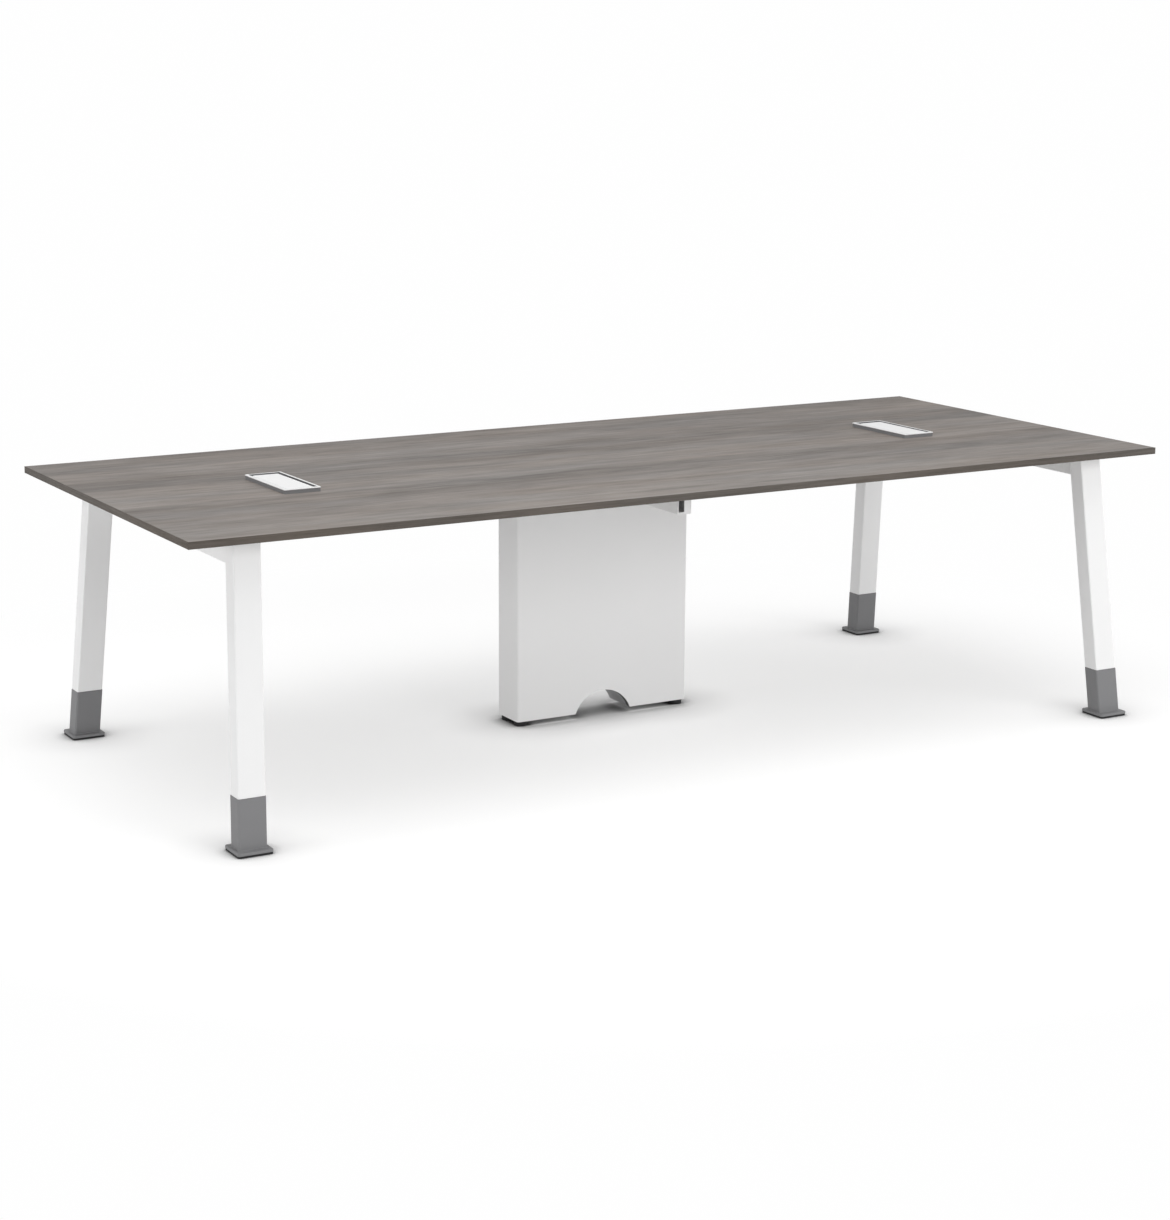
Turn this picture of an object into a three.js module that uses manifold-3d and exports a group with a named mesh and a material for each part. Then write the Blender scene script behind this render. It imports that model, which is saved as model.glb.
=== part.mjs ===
// Conference table: a wood-grain top on two raked-leg end frames, a middle beam,
// a floor-standing cable column and two flip-lid cable boxes let into the top.
// Millimetres, +X along the table, +Y to the back, +Z up, origin on the floor under the middle.
import * as THREE from "three";
import { mergeVertices } from "three/addons/utils/BufferGeometryUtils.js";
import Module from "manifold-3d";

// Fit
const SEAT = 0.3; // clearance between pieces that seat in or beside one another

// Top
const TOP_LENGTH = 2860;
const TOP_WIDTH = 1180;
const TOP_THICKNESS = 18;
const TOP_HEIGHT = 750;
const EDGE_BAND = 2; // thickness of the glued edging

// Legs, measured where they meet the underside of the top
const LEG_WIDTH = 70; // along X
const LEG_DEPTH = 50; // along Y
const LEG_WALL = 2;
const LEG_CORNER = 4; // outer corner radius of the tube
const LEG_END_INSET = 172; // end of the top to the leg's middle
const LEG_SIDE_INSET = 98; // long side of the top to the leg's middle
const LEG_RAKE_X = 37; // how far the foot stands out along X
const LEG_RAKE_Y = 88; // how far the foot stands out along Y

// Beams and rails under the top
const BEAM_WIDTH = 40;
const BEAM_HEIGHT = 66;
const BEAM_WALL = 2;
const BEAM_CORNER = 3;
const MID_BEAM_X = -24;
const MID_BEAM_LENGTH = 892;
const RAIL_WIDTH = 30;
const RAIL_HEIGHT = 40;
const RAIL_WALL = 2;
const RAIL_CORNER = 3;
const RAIL_Y = 260;
const ANGLE_LEG = 40; // angle bracket between a rail and an end beam
const ANGLE_SHEET = 3;
const ANGLE_HEIGHT = 30;

// Feet of the legs
const SHOE_TOP = 132; // height of the joint between shoe and tube
const SHOE_PROUD = 0.8; // how far the shoe stands out of the tube all round
const SHOE_WALL = 4;
const SPIGOT_LENGTH = 55;
const SPIGOT_WALL = 3;
const FLANGE_LENGTH = 90;
const FLANGE_WIDTH = 87;
const FLANGE_THICKNESS = 6.5;
const FLANGE_CORNER = 7;
const FLANGE_CHAMFER = 2;
const PAD_THICKNESS = 5.5;
const PAD_INSET = 1;
const STEM_DIAMETER = 10;
const STEM_TOP = 64;
const STEM_SEAT = 2.5; // depth of the stem's socket in the pad
const NUT_DIAMETER = 22;
const NUT_HEIGHT = 9;

// Cable column
const COLUMN_X = 47;
const COLUMN_Y = 139;
const COLUMN_WIDTH = 544;
const COLUMN_DEPTH = 114;
const COLUMN_SHEET = 1.5;
const COLUMN_BEND = 7; // outer bend radius
const COLUMN_LIP = 18; // return along the back
const COLUMN_LIFT = 14; // bottom edge above the floor
const COLUMN_CAP = 2; // top plate
const CAP_SLOT_LENGTH = 120;
const CAP_SLOT_WIDTH = 52;
const CAP_SLOT_SPREAD = 170; // slot middle from the column's middle
const ARCH_WIDTH = 176;
const ARCH_RISE = 60;
const FOOT_BRACKET_WIDTH = 50;
const FOOT_BRACKET_HEIGHT = 24;
const FOOT_BRACKET_SHEET = 2.5;
const GLIDE_DIAMETER = 38;
const GLIDE_STEM = 8;
const GLIDE_STEM_LENGTH = 34;
const GLIDE_INSET_X = 21.5;
const GLIDE_INSET_Y = 22;

// Cable boxes
const BOX_LEFT_INSET = 484; // left end of the top to the left box's middle
const BOX_RIGHT_INSET = 468; // right end of the top to the right box's middle
const FRAME_LENGTH = 256; // along Y
const FRAME_WIDTH = 100; // along X
const FRAME_RISE = 12; // how far the frame stands on the top
const FRAME_RIM = 7;
const FRAME_CORNER = 3;
const FRAME_CHAMFER = 1;
const RIM_THICKNESS = 2.5; // white rim above the grey surround
const RIM_OVERHANG = 3; // rim over the frame's neck
const SURROUND_INSET = 1; // rim's edge to the surround
const COLLAR_WALL = 2;
const COLLAR_DEPTH = 15;
const CUTOUT_PLAY = 1; // board cut-out to collar, each side
const LID_BARREL = 6; // radius of the rolled hinge edge
const LID_SHEET = 3;
const LID_LIP = 9; // height of the turned-down free edge
const LID_SWING_GAP = 1.6; // rim to barrel
const LID_END_GAP = 1; // near end
const LID_FAR_GAP = 20; // far end, a second way out for cables
const LID_SLOT = 11; // cable slot along the free edge
const PIN_DIAMETER = 4;
const PIN_IN_LID = 10;
const PIN_IN_RIM = 3;
const LEDGE_DEPTH = 5;
const LEDGE_THICKNESS = 3;
const TRAY_SHEET = 1.2;
const TRAY_DEPTH = 76;
const TRAY_RIM_DROP = 3; // tray rim below the barrel
const TRAY_EXIT_LENGTH = 56;
const TRAY_EXIT_WIDTH = 34;

// Levels and places that follow from the sizes above
const UNDERSIDE = TOP_HEIGHT - TOP_THICKNESS;
const LEG_TOP_X = TOP_LENGTH / 2 - LEG_END_INSET;
const LEG_TOP_Y = TOP_WIDTH / 2 - LEG_SIDE_INSET;
const FOOT_X = LEG_TOP_X + LEG_RAKE_X;
const FOOT_Y = LEG_TOP_Y + LEG_RAKE_Y;
const BEAM_BOTTOM = UNDERSIDE - BEAM_HEIGHT;
const END_BEAM_X = LEG_TOP_X + (LEG_WIDTH - BEAM_WIDTH) / 2;
const SHOE_BOTTOM = PAD_THICKNESS;
const FLANGE_TOP = PAD_THICKNESS + FLANGE_THICKNESS;
const COLUMN_TOP = BEAM_BOTTOM - COLUMN_CAP;
const BOX_LEFT_X = BOX_LEFT_INSET - TOP_LENGTH / 2;
const BOX_RIGHT_X = TOP_LENGTH / 2 - BOX_RIGHT_INSET;
const RIM_UNDERSIDE = FRAME_RISE - RIM_THICKNESS;

const wasm = await Module();
wasm.setup();

// Materials
const paint = (color, roughness, metalness = 0) =>
  new THREE.MeshStandardMaterial({ color, roughness, metalness });
const WOOD = paint(0x938e89, 0.55);
const EDGING = paint(0x635e5a, 0.6);
const WHITE_STEEL = paint(0xf1f1ef, 0.42);
const GREY_PLASTIC = paint(0x85858a, 0.6);
const BLACK_RUBBER = paint(0x17171a, 0.8);
const ZINC = paint(0xb6b9bd, 0.35, 1);

// Solids: three.js shapes go into manifold solids for joining and cutting, and come back
function solidOf(geometry) {
  const bare = geometry.clone();
  bare.deleteAttribute("normal");
  bare.deleteAttribute("uv");
  const merged = mergeVertices(bare, 1e-4);
  return new wasm.Manifold(
    new wasm.Mesh({
      numProp: 3,
      vertProperties: new Float32Array(merged.attributes.position.array),
      triVerts: new Uint32Array(merged.index.array),
    }),
  );
}

function geometryOf(solid) {
  const made = solid.getMesh();
  const geometry = new THREE.BufferGeometry();
  const position = new Float32Array(made.vertProperties);
  geometry.setAttribute("position", new THREE.BufferAttribute(position, 3));
  geometry.setIndex(new THREE.BufferAttribute(new Uint32Array(made.triVerts), 1));
  const faceted = geometry.toNonIndexed();
  faceted.computeVertexNormals();
  return faceted;
}

function cut(body, ...tools) {
  let solid = solidOf(body);
  for (const tool of tools) solid = solid.subtract(solidOf(tool));
  return geometryOf(solid);
}

function join(...pieces) {
  let solid = solidOf(pieces[0]);
  for (const piece of pieces.slice(1)) solid = solid.add(solidOf(piece));
  return geometryOf(solid);
}

// Outlines
function rectangle(width, depth, radius = 0) {
  const shape = new THREE.Shape();
  const x = width / 2;
  const y = depth / 2;
  if (radius <= 0) {
    shape.moveTo(-x, -y).lineTo(x, -y).lineTo(x, y).lineTo(-x, y);
    return shape;
  }
  shape.moveTo(-x + radius, -y);
  shape.lineTo(x - radius, -y);
  shape.absarc(x - radius, -y + radius, radius, -Math.PI / 2, 0, false);
  shape.lineTo(x, y - radius);
  shape.absarc(x - radius, y - radius, radius, 0, Math.PI / 2, false);
  shape.lineTo(-x + radius, y);
  shape.absarc(-x + radius, y - radius, radius, Math.PI / 2, Math.PI, false);
  shape.lineTo(-x, -y + radius);
  shape.absarc(-x + radius, -y + radius, radius, Math.PI, Math.PI * 1.5, false);
  return shape;
}

function tubeSection(width, depth, wall, radius) {
  const shape = rectangle(width, depth, radius);
  shape.holes.push(rectangle(width - 2 * wall, depth - 2 * wall, radius - wall));
  return shape;
}

// An outline raised along Z from one level to another
function prism(shape, low, high, curveSegments = 2) {
  const geometry = new THREE.ExtrudeGeometry(shape, {
    depth: high - low,
    bevelEnabled: false,
    curveSegments,
  });
  return geometry.translate(0, 0, low);
}

// A plate whose upper edge is chamfered all round
function chamferedPlate(width, depth, radius, low, high, chamfer) {
  const geometry = new THREE.ExtrudeGeometry(
    rectangle(width - 2 * chamfer, depth - 2 * chamfer, Math.max(radius - chamfer, 0.5)),
    {
      depth: high - low - chamfer,
      bevelEnabled: true,
      bevelThickness: chamfer,
      bevelSize: chamfer,
      bevelSegments: 1,
      curveSegments: 3,
    },
  );
  // The bevel also rounds the lower edge, which is cut off level
  geometry.translate(0, 0, low);
  const below = prism(rectangle(2 * width, 2 * depth), low - 2 * chamfer, low);
  return cut(geometry, below);
}

// An outline in X and Z carried along Y from near to far
function alongY(shape, near, far, curveSegments = 2) {
  const geometry = prism(shape, 0, far - near, curveSegments);
  return geometry.rotateX(Math.PI / 2).translate(0, far, 0);
}

// An outline in Y and Z carried along X from left to right
function alongX(shape, left, right, curveSegments = 2) {
  const geometry = prism(shape, 0, right - left, curveSegments);
  return geometry.rotateZ(Math.PI / 2).rotateY(Math.PI / 2).translate(left, 0, 0);
}

// A round bar along Z
function bar(diameter, low, high, sides = 24) {
  const geometry = new THREE.CylinderGeometry(diameter / 2, diameter / 2, high - low, sides);
  return geometry.rotateX(Math.PI / 2).translate(0, 0, (low + high) / 2);
}

// A round bar along Y
function barY(diameter, near, far, sides = 20) {
  const geometry = new THREE.CylinderGeometry(diameter / 2, diameter / 2, far - near, sides);
  return geometry.translate(0, (near + far) / 2, 0);
}

// Leans an upright prism as the legs lean: level sections, shifted with height
function raked(geometry, sideX, sideY) {
  const perX = (-sideX * LEG_RAKE_X) / UNDERSIDE;
  const perY = (-sideY * LEG_RAKE_Y) / UNDERSIDE;
  return geometry.applyMatrix4(new THREE.Matrix4().makeShear(0, 0, 0, 0, perX, perY));
}

const table = new THREE.Group();

function place(parent, name, geometry, material, x = 0, y = 0, z = 0) {
  const mesh = new THREE.Mesh(geometry, material);
  mesh.name = name;
  mesh.position.set(x, y, z);
  parent.add(mesh);
  return mesh;
}

const CORNERS = [
  { tag: "fl", x: -1, y: -1 },
  { tag: "fr", x: 1, y: -1 },
  { tag: "bl", x: -1, y: 1 },
  { tag: "br", x: 1, y: 1 },
];
const ENDS = [
  { tag: "left", x: -1, boxX: BOX_LEFT_X },
  { tag: "right", x: 1, boxX: BOX_RIGHT_X },
];

// Top: board with a cut-out for each cable box, edged on four sides
const collarWidth = FRAME_WIDTH - 2 * FRAME_RIM + 2 * COLLAR_WALL;
const collarLength = FRAME_LENGTH - 2 * FRAME_RIM + 2 * COLLAR_WALL;
const board = prism(
  rectangle(TOP_LENGTH - 2 * EDGE_BAND, TOP_WIDTH - 2 * EDGE_BAND),
  UNDERSIDE,
  TOP_HEIGHT,
);
const cutouts = ENDS.map((end) =>
  prism(
    rectangle(collarWidth + 2 * CUTOUT_PLAY, collarLength + 2 * CUTOUT_PLAY),
    UNDERSIDE - 1,
    TOP_HEIGHT + 1,
  ).translate(end.boxX, 0, 0),
);
place(table, "tabletop_board", cut(board, ...cutouts), WOOD);

const longBand = () => prism(rectangle(TOP_LENGTH, EDGE_BAND), UNDERSIDE, TOP_HEIGHT);
const shortBand = () =>
  prism(rectangle(EDGE_BAND, TOP_WIDTH - 2 * EDGE_BAND), UNDERSIDE, TOP_HEIGHT);
const bandY = (TOP_WIDTH - EDGE_BAND) / 2;
const bandX = (TOP_LENGTH - EDGE_BAND) / 2;
place(table, "edge_band_front", longBand(), EDGING, 0, -bandY);
place(table, "edge_band_back", longBand(), EDGING, 0, bandY);
place(table, "edge_band_left", shortBand(), EDGING, -bandX);
place(table, "edge_band_right", shortBand(), EDGING, bandX);

// Legs with their feet: tube, plug-in shoe with flange, nut, stem and pad
for (const corner of CORNERS) {
  const leg = new THREE.Group();
  leg.position.set(corner.x * FOOT_X, corner.y * FOOT_Y, 0);
  table.add(leg);

  const tube = prism(
    tubeSection(LEG_WIDTH, LEG_DEPTH, LEG_WALL, LEG_CORNER),
    SHOE_TOP,
    UNDERSIDE,
  );
  place(leg, `leg_${corner.tag}`, raked(tube, corner.x, corner.y), WHITE_STEEL);

  const shoeWidth = LEG_WIDTH + 2 * SHOE_PROUD;
  const shoeDepth = LEG_DEPTH + 2 * SHOE_PROUD;
  const plugWidth = LEG_WIDTH - 2 * LEG_WALL - 2 * SEAT;
  const plugDepth = LEG_DEPTH - 2 * LEG_WALL - 2 * SEAT;
  const plugTop = SHOE_TOP + SPIGOT_LENGTH;
  const sleeve = prism(rectangle(shoeWidth, shoeDepth, LEG_CORNER), SHOE_BOTTOM, SHOE_TOP);
  const plug = prism(rectangle(plugWidth, plugDepth, LEG_CORNER - LEG_WALL), FLANGE_TOP, plugTop);
  const flange = chamferedPlate(
    FLANGE_LENGTH,
    FLANGE_WIDTH,
    FLANGE_CORNER,
    SHOE_BOTTOM,
    FLANGE_TOP,
    FLANGE_CHAMFER,
  );
  const hollow = prism(
    rectangle(shoeWidth - 2 * SHOE_WALL, shoeDepth - 2 * SHOE_WALL),
    FLANGE_TOP,
    SHOE_TOP - SHOE_WALL,
  );
  const throat = prism(
    rectangle(plugWidth - 2 * SPIGOT_WALL, plugDepth - 2 * SPIGOT_WALL),
    FLANGE_TOP,
    plugTop + 1,
  );
  const stemHole = bar(STEM_DIAMETER + 2 * SEAT, 0, FLANGE_TOP + 1);
  const outside = join(
    raked(sleeve, corner.x, corner.y),
    raked(plug, corner.x, corner.y),
    flange,
  );
  const shoe = cut(
    outside,
    raked(hollow, corner.x, corner.y),
    raked(throat, corner.x, corner.y),
    stemHole,
  );
  place(leg, `foot_shoe_${corner.tag}`, shoe, GREY_PLASTIC);

  const nut = cut(
    bar(NUT_DIAMETER, FLANGE_TOP, FLANGE_TOP + NUT_HEIGHT, 6),
    bar(STEM_DIAMETER + 2 * SEAT, 0, STEM_TOP),
  );
  place(leg, `foot_nut_${corner.tag}`, nut, ZINC);

  const stemLow = PAD_THICKNESS - STEM_SEAT + SEAT;
  place(leg, `foot_stem_${corner.tag}`, bar(STEM_DIAMETER, stemLow, STEM_TOP), ZINC);

  const padShape = rectangle(
    FLANGE_LENGTH - 2 * PAD_INSET,
    FLANGE_WIDTH - 2 * PAD_INSET,
    Math.max(FLANGE_CORNER - PAD_INSET, 0.5),
  );
  const pad = cut(
    prism(padShape, 0, PAD_THICKNESS),
    bar(STEM_DIAMETER + 2 * SEAT, PAD_THICKNESS - STEM_SEAT, PAD_THICKNESS + 1),
  );
  place(leg, `foot_pad_${corner.tag}`, pad, BLACK_RUBBER);
}

// End beams: tubes between the legs of each end, mitred to the raked tubes
const beamSection = () => tubeSection(BEAM_WIDTH, BEAM_HEIGHT, BEAM_WALL, BEAM_CORNER);
const beamMiddle = UNDERSIDE - BEAM_HEIGHT / 2;
for (const end of ENDS) {
  const reach = LEG_TOP_Y + LEG_RAKE_Y;
  const blank = alongY(beamSection(), -reach, reach);
  blank.translate(end.x * END_BEAM_X, 0, beamMiddle);
  const notches = [-1, 1].map((side) => {
    const length = LEG_DEPTH + 2 * SEAT + reach;
    const shape = rectangle(4 * LEG_WIDTH, length);
    const past = prism(shape, 0, TOP_HEIGHT).translate(0, (side * reach) / 2, 0);
    return raked(past, end.x, side).translate(end.x * FOOT_X, side * FOOT_Y, 0);
  });
  place(table, `end_beam_${end.tag}`, cut(blank, ...notches), WHITE_STEEL);
}

// Middle beam: a tube across the table with open ends
const midBeam = alongY(beamSection(), -MID_BEAM_LENGTH / 2, MID_BEAM_LENGTH / 2);
place(table, "mid_beam", midBeam, WHITE_STEEL, MID_BEAM_X, 0, beamMiddle);

// Rails along the table between the beams, each angled to its end beam by a bracket
const railSection = () => tubeSection(RAIL_WIDTH, RAIL_HEIGHT, RAIL_WALL, RAIL_CORNER);
for (const corner of CORNERS) {
  const fromMid = MID_BEAM_X + corner.x * (BEAM_WIDTH / 2 + SEAT);
  const toEnd = corner.x * (END_BEAM_X - BEAM_WIDTH / 2 - SEAT);
  const rail = alongX(railSection(), Math.min(fromMid, toEnd), Math.max(fromMid, toEnd));
  const level = UNDERSIDE - RAIL_HEIGHT / 2;
  place(table, `rail_${corner.tag}`, rail, WHITE_STEEL, 0, corner.y * RAIL_Y, level);

  const angle = new THREE.Shape();
  angle.moveTo(0, 0).lineTo(ANGLE_LEG, 0).lineTo(ANGLE_LEG, ANGLE_SHEET);
  angle.lineTo(ANGLE_SHEET, ANGLE_SHEET).lineTo(ANGLE_SHEET, ANGLE_LEG);
  angle.lineTo(0, ANGLE_LEG);
  const bracket = prism(angle, -ANGLE_HEIGHT / 2, ANGLE_HEIGHT / 2);
  const mesh = place(table, `rail_bracket_${corner.tag}`, bracket, WHITE_STEEL);
  // The bracket's corner lies in the corner of rail and beam, on the side towards the middle
  const quarter = { fl: 0, fr: 1, br: 2, bl: 3 }[corner.tag];
  mesh.rotation.z = (quarter * Math.PI) / 2;
  mesh.position.set(
    corner.x * (END_BEAM_X - BEAM_WIDTH / 2 - SEAT),
    corner.y * (RAIL_Y - RAIL_WIDTH / 2 - SEAT),
    level,
  );
}

// Cable column: folded shell, back panel, arch liner, top plate, foot brackets and glides
const column = new THREE.Group();
column.position.set(COLUMN_X, COLUMN_Y, 0);
table.add(column);

// A sheet folded round the front and sides, with a return along the back
function shellShape(width, depth, sheet, bend, lip) {
  const x = width / 2;
  const y = depth / 2;
  const inner = bend - sheet;
  const shape = new THREE.Shape();
  shape.moveTo(-x + lip, y);
  shape.lineTo(-x + bend, y);
  shape.absarc(-x + bend, y - bend, bend, Math.PI / 2, Math.PI, false);
  shape.lineTo(-x, -y + bend);
  shape.absarc(-x + bend, -y + bend, bend, Math.PI, Math.PI * 1.5, false);
  shape.lineTo(x - bend, -y);
  shape.absarc(x - bend, -y + bend, bend, -Math.PI / 2, 0, false);
  shape.lineTo(x, y - bend);
  shape.absarc(x - bend, y - bend, bend, 0, Math.PI / 2, false);
  shape.lineTo(x - lip, y);
  shape.lineTo(x - lip, y - sheet);
  shape.lineTo(x - bend, y - sheet);
  shape.absarc(x - bend, y - bend, inner, Math.PI / 2, 0, true);
  shape.lineTo(x - sheet, -y + bend);
  shape.absarc(x - bend, -y + bend, inner, 0, -Math.PI / 2, true);
  shape.lineTo(-x + bend, -y + sheet);
  shape.absarc(-x + bend, -y + bend, inner, Math.PI * 1.5, Math.PI, true);
  shape.lineTo(-x + sheet, y - bend);
  shape.absarc(-x + bend, y - bend, inner, Math.PI, Math.PI / 2, true);
  shape.lineTo(-x + lip, y - sheet);
  return shape;
}

// The arch is part of a circle that passes its two feet and its crown
const archHalf = ARCH_WIDTH / 2;
const archRadius = (archHalf * archHalf + ARCH_RISE * ARCH_RISE) / (2 * ARCH_RISE);
const archCentre = COLUMN_LIFT + ARCH_RISE - archRadius;
const archAngle = (radius) => Math.asin((COLUMN_LIFT - archCentre) / radius);

const archGap = new THREE.Shape();
archGap.moveTo(-archHalf, COLUMN_LIFT - ARCH_RISE);
archGap.lineTo(archHalf, COLUMN_LIFT - ARCH_RISE);
archGap.lineTo(archHalf, COLUMN_LIFT);
const footAngle = archAngle(archRadius);
archGap.absarc(0, archCentre, archRadius, footAngle, Math.PI - footAngle, false);

const halfDepth = COLUMN_DEPTH / 2;
const panelBack = halfDepth - COLUMN_SHEET - SEAT;
const panelFront = panelBack - COLUMN_SHEET;
const wallBack = -halfDepth + COLUMN_SHEET;
const archTool = () => alongY(archGap, -COLUMN_DEPTH, COLUMN_DEPTH, 18);

const shell = cut(
  prism(
    shellShape(COLUMN_WIDTH, COLUMN_DEPTH, COLUMN_SHEET, COLUMN_BEND, COLUMN_LIP),
    COLUMN_LIFT,
    COLUMN_TOP,
  ),
  archTool(),
);
place(column, "column_shell", shell, WHITE_STEEL);

const panelHalf = COLUMN_WIDTH / 2 - COLUMN_BEND - SEAT;
const panelShape = rectangle(2 * panelHalf, COLUMN_SHEET);
const panel = prism(panelShape, COLUMN_LIFT, COLUMN_TOP).translate(
  0,
  (panelBack + panelFront) / 2,
  0,
);
place(column, "column_back_panel", cut(panel, archTool()), WHITE_STEEL);

const liner = new THREE.Shape();
const outerRadius = archRadius + COLUMN_SHEET;
const outerAngle = archAngle(outerRadius);
liner.absarc(0, archCentre, outerRadius, outerAngle, Math.PI - outerAngle, false);
liner.absarc(0, archCentre, archRadius, Math.PI - footAngle, footAngle, true);
const linerSheet = alongY(liner, wallBack + SEAT, panelFront - SEAT, 18);
place(column, "column_arch_liner", linerSheet, GREY_PLASTIC);

const capShape = rectangle(COLUMN_WIDTH, COLUMN_DEPTH, COLUMN_BEND);
const slotRadius = CAP_SLOT_WIDTH / 4;
const capSlots = [-1, 1].map((side) =>
  prism(rectangle(CAP_SLOT_LENGTH, CAP_SLOT_WIDTH, slotRadius), COLUMN_TOP - 1, BEAM_BOTTOM + 1)
    .translate(side * CAP_SLOT_SPREAD, 0, 0),
);
const cap = cut(prism(capShape, COLUMN_TOP, BEAM_BOTTOM), ...capSlots);
place(column, "column_top_plate", cap, WHITE_STEEL);

// Foot brackets: angles on the side walls, holed for the glides
const glideX = COLUMN_WIDTH / 2 - GLIDE_INSET_X;
const glideY = COLUMN_DEPTH / 2 - GLIDE_INSET_Y;
for (const end of ENDS) {
  const wall = COLUMN_WIDTH / 2 - COLUMN_SHEET - SEAT;
  const angle = new THREE.Shape();
  angle.moveTo(wall, COLUMN_LIFT);
  angle.lineTo(wall, COLUMN_LIFT + FOOT_BRACKET_HEIGHT);
  angle.lineTo(wall - FOOT_BRACKET_SHEET, COLUMN_LIFT + FOOT_BRACKET_HEIGHT);
  angle.lineTo(wall - FOOT_BRACKET_SHEET, COLUMN_LIFT + FOOT_BRACKET_SHEET);
  angle.lineTo(wall - FOOT_BRACKET_WIDTH, COLUMN_LIFT + FOOT_BRACKET_SHEET);
  angle.lineTo(wall - FOOT_BRACKET_WIDTH, COLUMN_LIFT);
  const near = -halfDepth + COLUMN_BEND;
  const far = panelFront - SEAT - (COLUMN_BEND - COLUMN_SHEET);
  const bracket = alongY(angle, near, far);
  if (end.x < 0) bracket.rotateZ(Math.PI).translate(0, near + far, 0);
  const holes = [-1, 1].map((side) =>
    bar(GLIDE_STEM + 2 * SEAT, 0, COLUMN_LIFT + FOOT_BRACKET_HEIGHT).translate(
      end.x * glideX,
      side * glideY,
      0,
    ),
  );
  place(column, `column_foot_bracket_${end.tag}`, cut(bracket, ...holes), WHITE_STEEL);
}

const glideTop = COLUMN_LIFT - SEAT;
const glideEdge = Math.min(2, glideTop / 4);
const glideProfile = [
  [0, 0],
  [GLIDE_DIAMETER / 2 - glideEdge, 0],
  [GLIDE_DIAMETER / 2, glideEdge],
  [GLIDE_DIAMETER / 2, glideTop - glideEdge],
  [GLIDE_DIAMETER / 2 - glideEdge, glideTop],
  [GLIDE_STEM / 2, glideTop],
  [GLIDE_STEM / 2, glideTop + GLIDE_STEM_LENGTH],
  [0, glideTop + GLIDE_STEM_LENGTH],
].map(([radius, height]) => new THREE.Vector2(radius, height));
for (const corner of CORNERS) {
  const glide = new THREE.LatheGeometry(glideProfile, 28).rotateX(Math.PI / 2);
  const name = `column_glide_${corner.tag}`;
  place(column, name, glide, BLACK_RUBBER, corner.x * glideX, corner.y * glideY);
}

// Cable boxes: frame standing on the top with a grey surround below its rim, lid on two pins,
// tray hung in the frame's collar
const rimX = FRAME_WIDTH / 2 - FRAME_RIM;
const rimY = FRAME_LENGTH / 2 - FRAME_RIM;
const hingeX = -rimX + LID_SWING_GAP + LID_BARREL;
const hingeZ = FRAME_RISE - LID_BARREL;
const lidNear = -rimY + LID_END_GAP;
const lidFar = rimY - LID_FAR_GAP;
const lidRight = rimX - LID_SLOT;
const boreDiameter = PIN_DIAMETER + 2 * SEAT;

function boxFrame() {
  const rim = chamferedPlate(
    FRAME_WIDTH,
    FRAME_LENGTH,
    FRAME_CORNER,
    RIM_UNDERSIDE,
    FRAME_RISE,
    FRAME_CHAMFER,
  );
  const neck = prism(
    rectangle(FRAME_WIDTH - 2 * RIM_OVERHANG, FRAME_LENGTH - 2 * RIM_OVERHANG),
    0,
    FRAME_RISE - RIM_THICKNESS / 2,
  );
  const collar = prism(rectangle(collarWidth, collarLength, COLLAR_WALL), -COLLAR_DEPTH, 1);
  const window = prism(rectangle(2 * rimX, 2 * rimY), -COLLAR_DEPTH - 1, FRAME_RISE + 1);
  const ledgeTop = FRAME_RISE - LID_SHEET - SEAT;
  const ledgeLow = ledgeTop - LEDGE_THICKNESS;
  const ledgeRight = lidRight - LID_SHEET - LEDGE_DEPTH;
  const nearLedge = prism(
    rectangle(ledgeRight - hingeX - 2 * LID_BARREL, LEDGE_DEPTH + 2),
    ledgeLow,
    ledgeTop,
  ).translate((ledgeRight + hingeX + 2 * LID_BARREL) / 2, -rimY + LEDGE_DEPTH / 2 - 1, 0);
  const bores = [-1, 1].map((side) => {
    const start = rimY - 1;
    const stop = rimY + PIN_IN_RIM + SEAT;
    const bore = barY(boreDiameter, side < 0 ? -stop : start, side < 0 ? -start : stop);
    return bore.translate(hingeX, 0, hingeZ);
  });
  return cut(join(cut(join(rim, neck, collar), window), nearLedge), ...bores);
}

function boxSurround() {
  const section = tubeSection(
    FRAME_WIDTH - 2 * SURROUND_INSET,
    FRAME_LENGTH - 2 * SURROUND_INSET,
    RIM_OVERHANG - SURROUND_INSET - SEAT,
    FRAME_CORNER - SURROUND_INSET,
  );
  return prism(section, 0, RIM_UNDERSIDE - SEAT);
}

function boxLid() {
  const shape = new THREE.Shape();
  const seam = Math.asin((LID_BARREL - LID_SHEET) / LID_BARREL);
  shape.moveTo(hingeX, FRAME_RISE);
  shape.absarc(hingeX, hingeZ, LID_BARREL, Math.PI / 2, 2 * Math.PI + seam, false);
  shape.lineTo(lidRight - LID_SHEET, FRAME_RISE - LID_SHEET);
  shape.lineTo(lidRight - LID_SHEET, FRAME_RISE - LID_LIP);
  shape.lineTo(lidRight, FRAME_RISE - LID_LIP);
  shape.lineTo(lidRight, FRAME_RISE - 1);
  shape.lineTo(lidRight - 1, FRAME_RISE);
  const bores = [
    barY(boreDiameter, lidNear - 1, lidNear + PIN_IN_LID + SEAT),
    barY(boreDiameter, lidFar - PIN_IN_LID - SEAT, lidFar + 1),
  ].map((bore) => bore.translate(hingeX, 0, hingeZ));
  return cut(alongY(shape, lidNear, lidFar, 14), ...bores);
}

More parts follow.
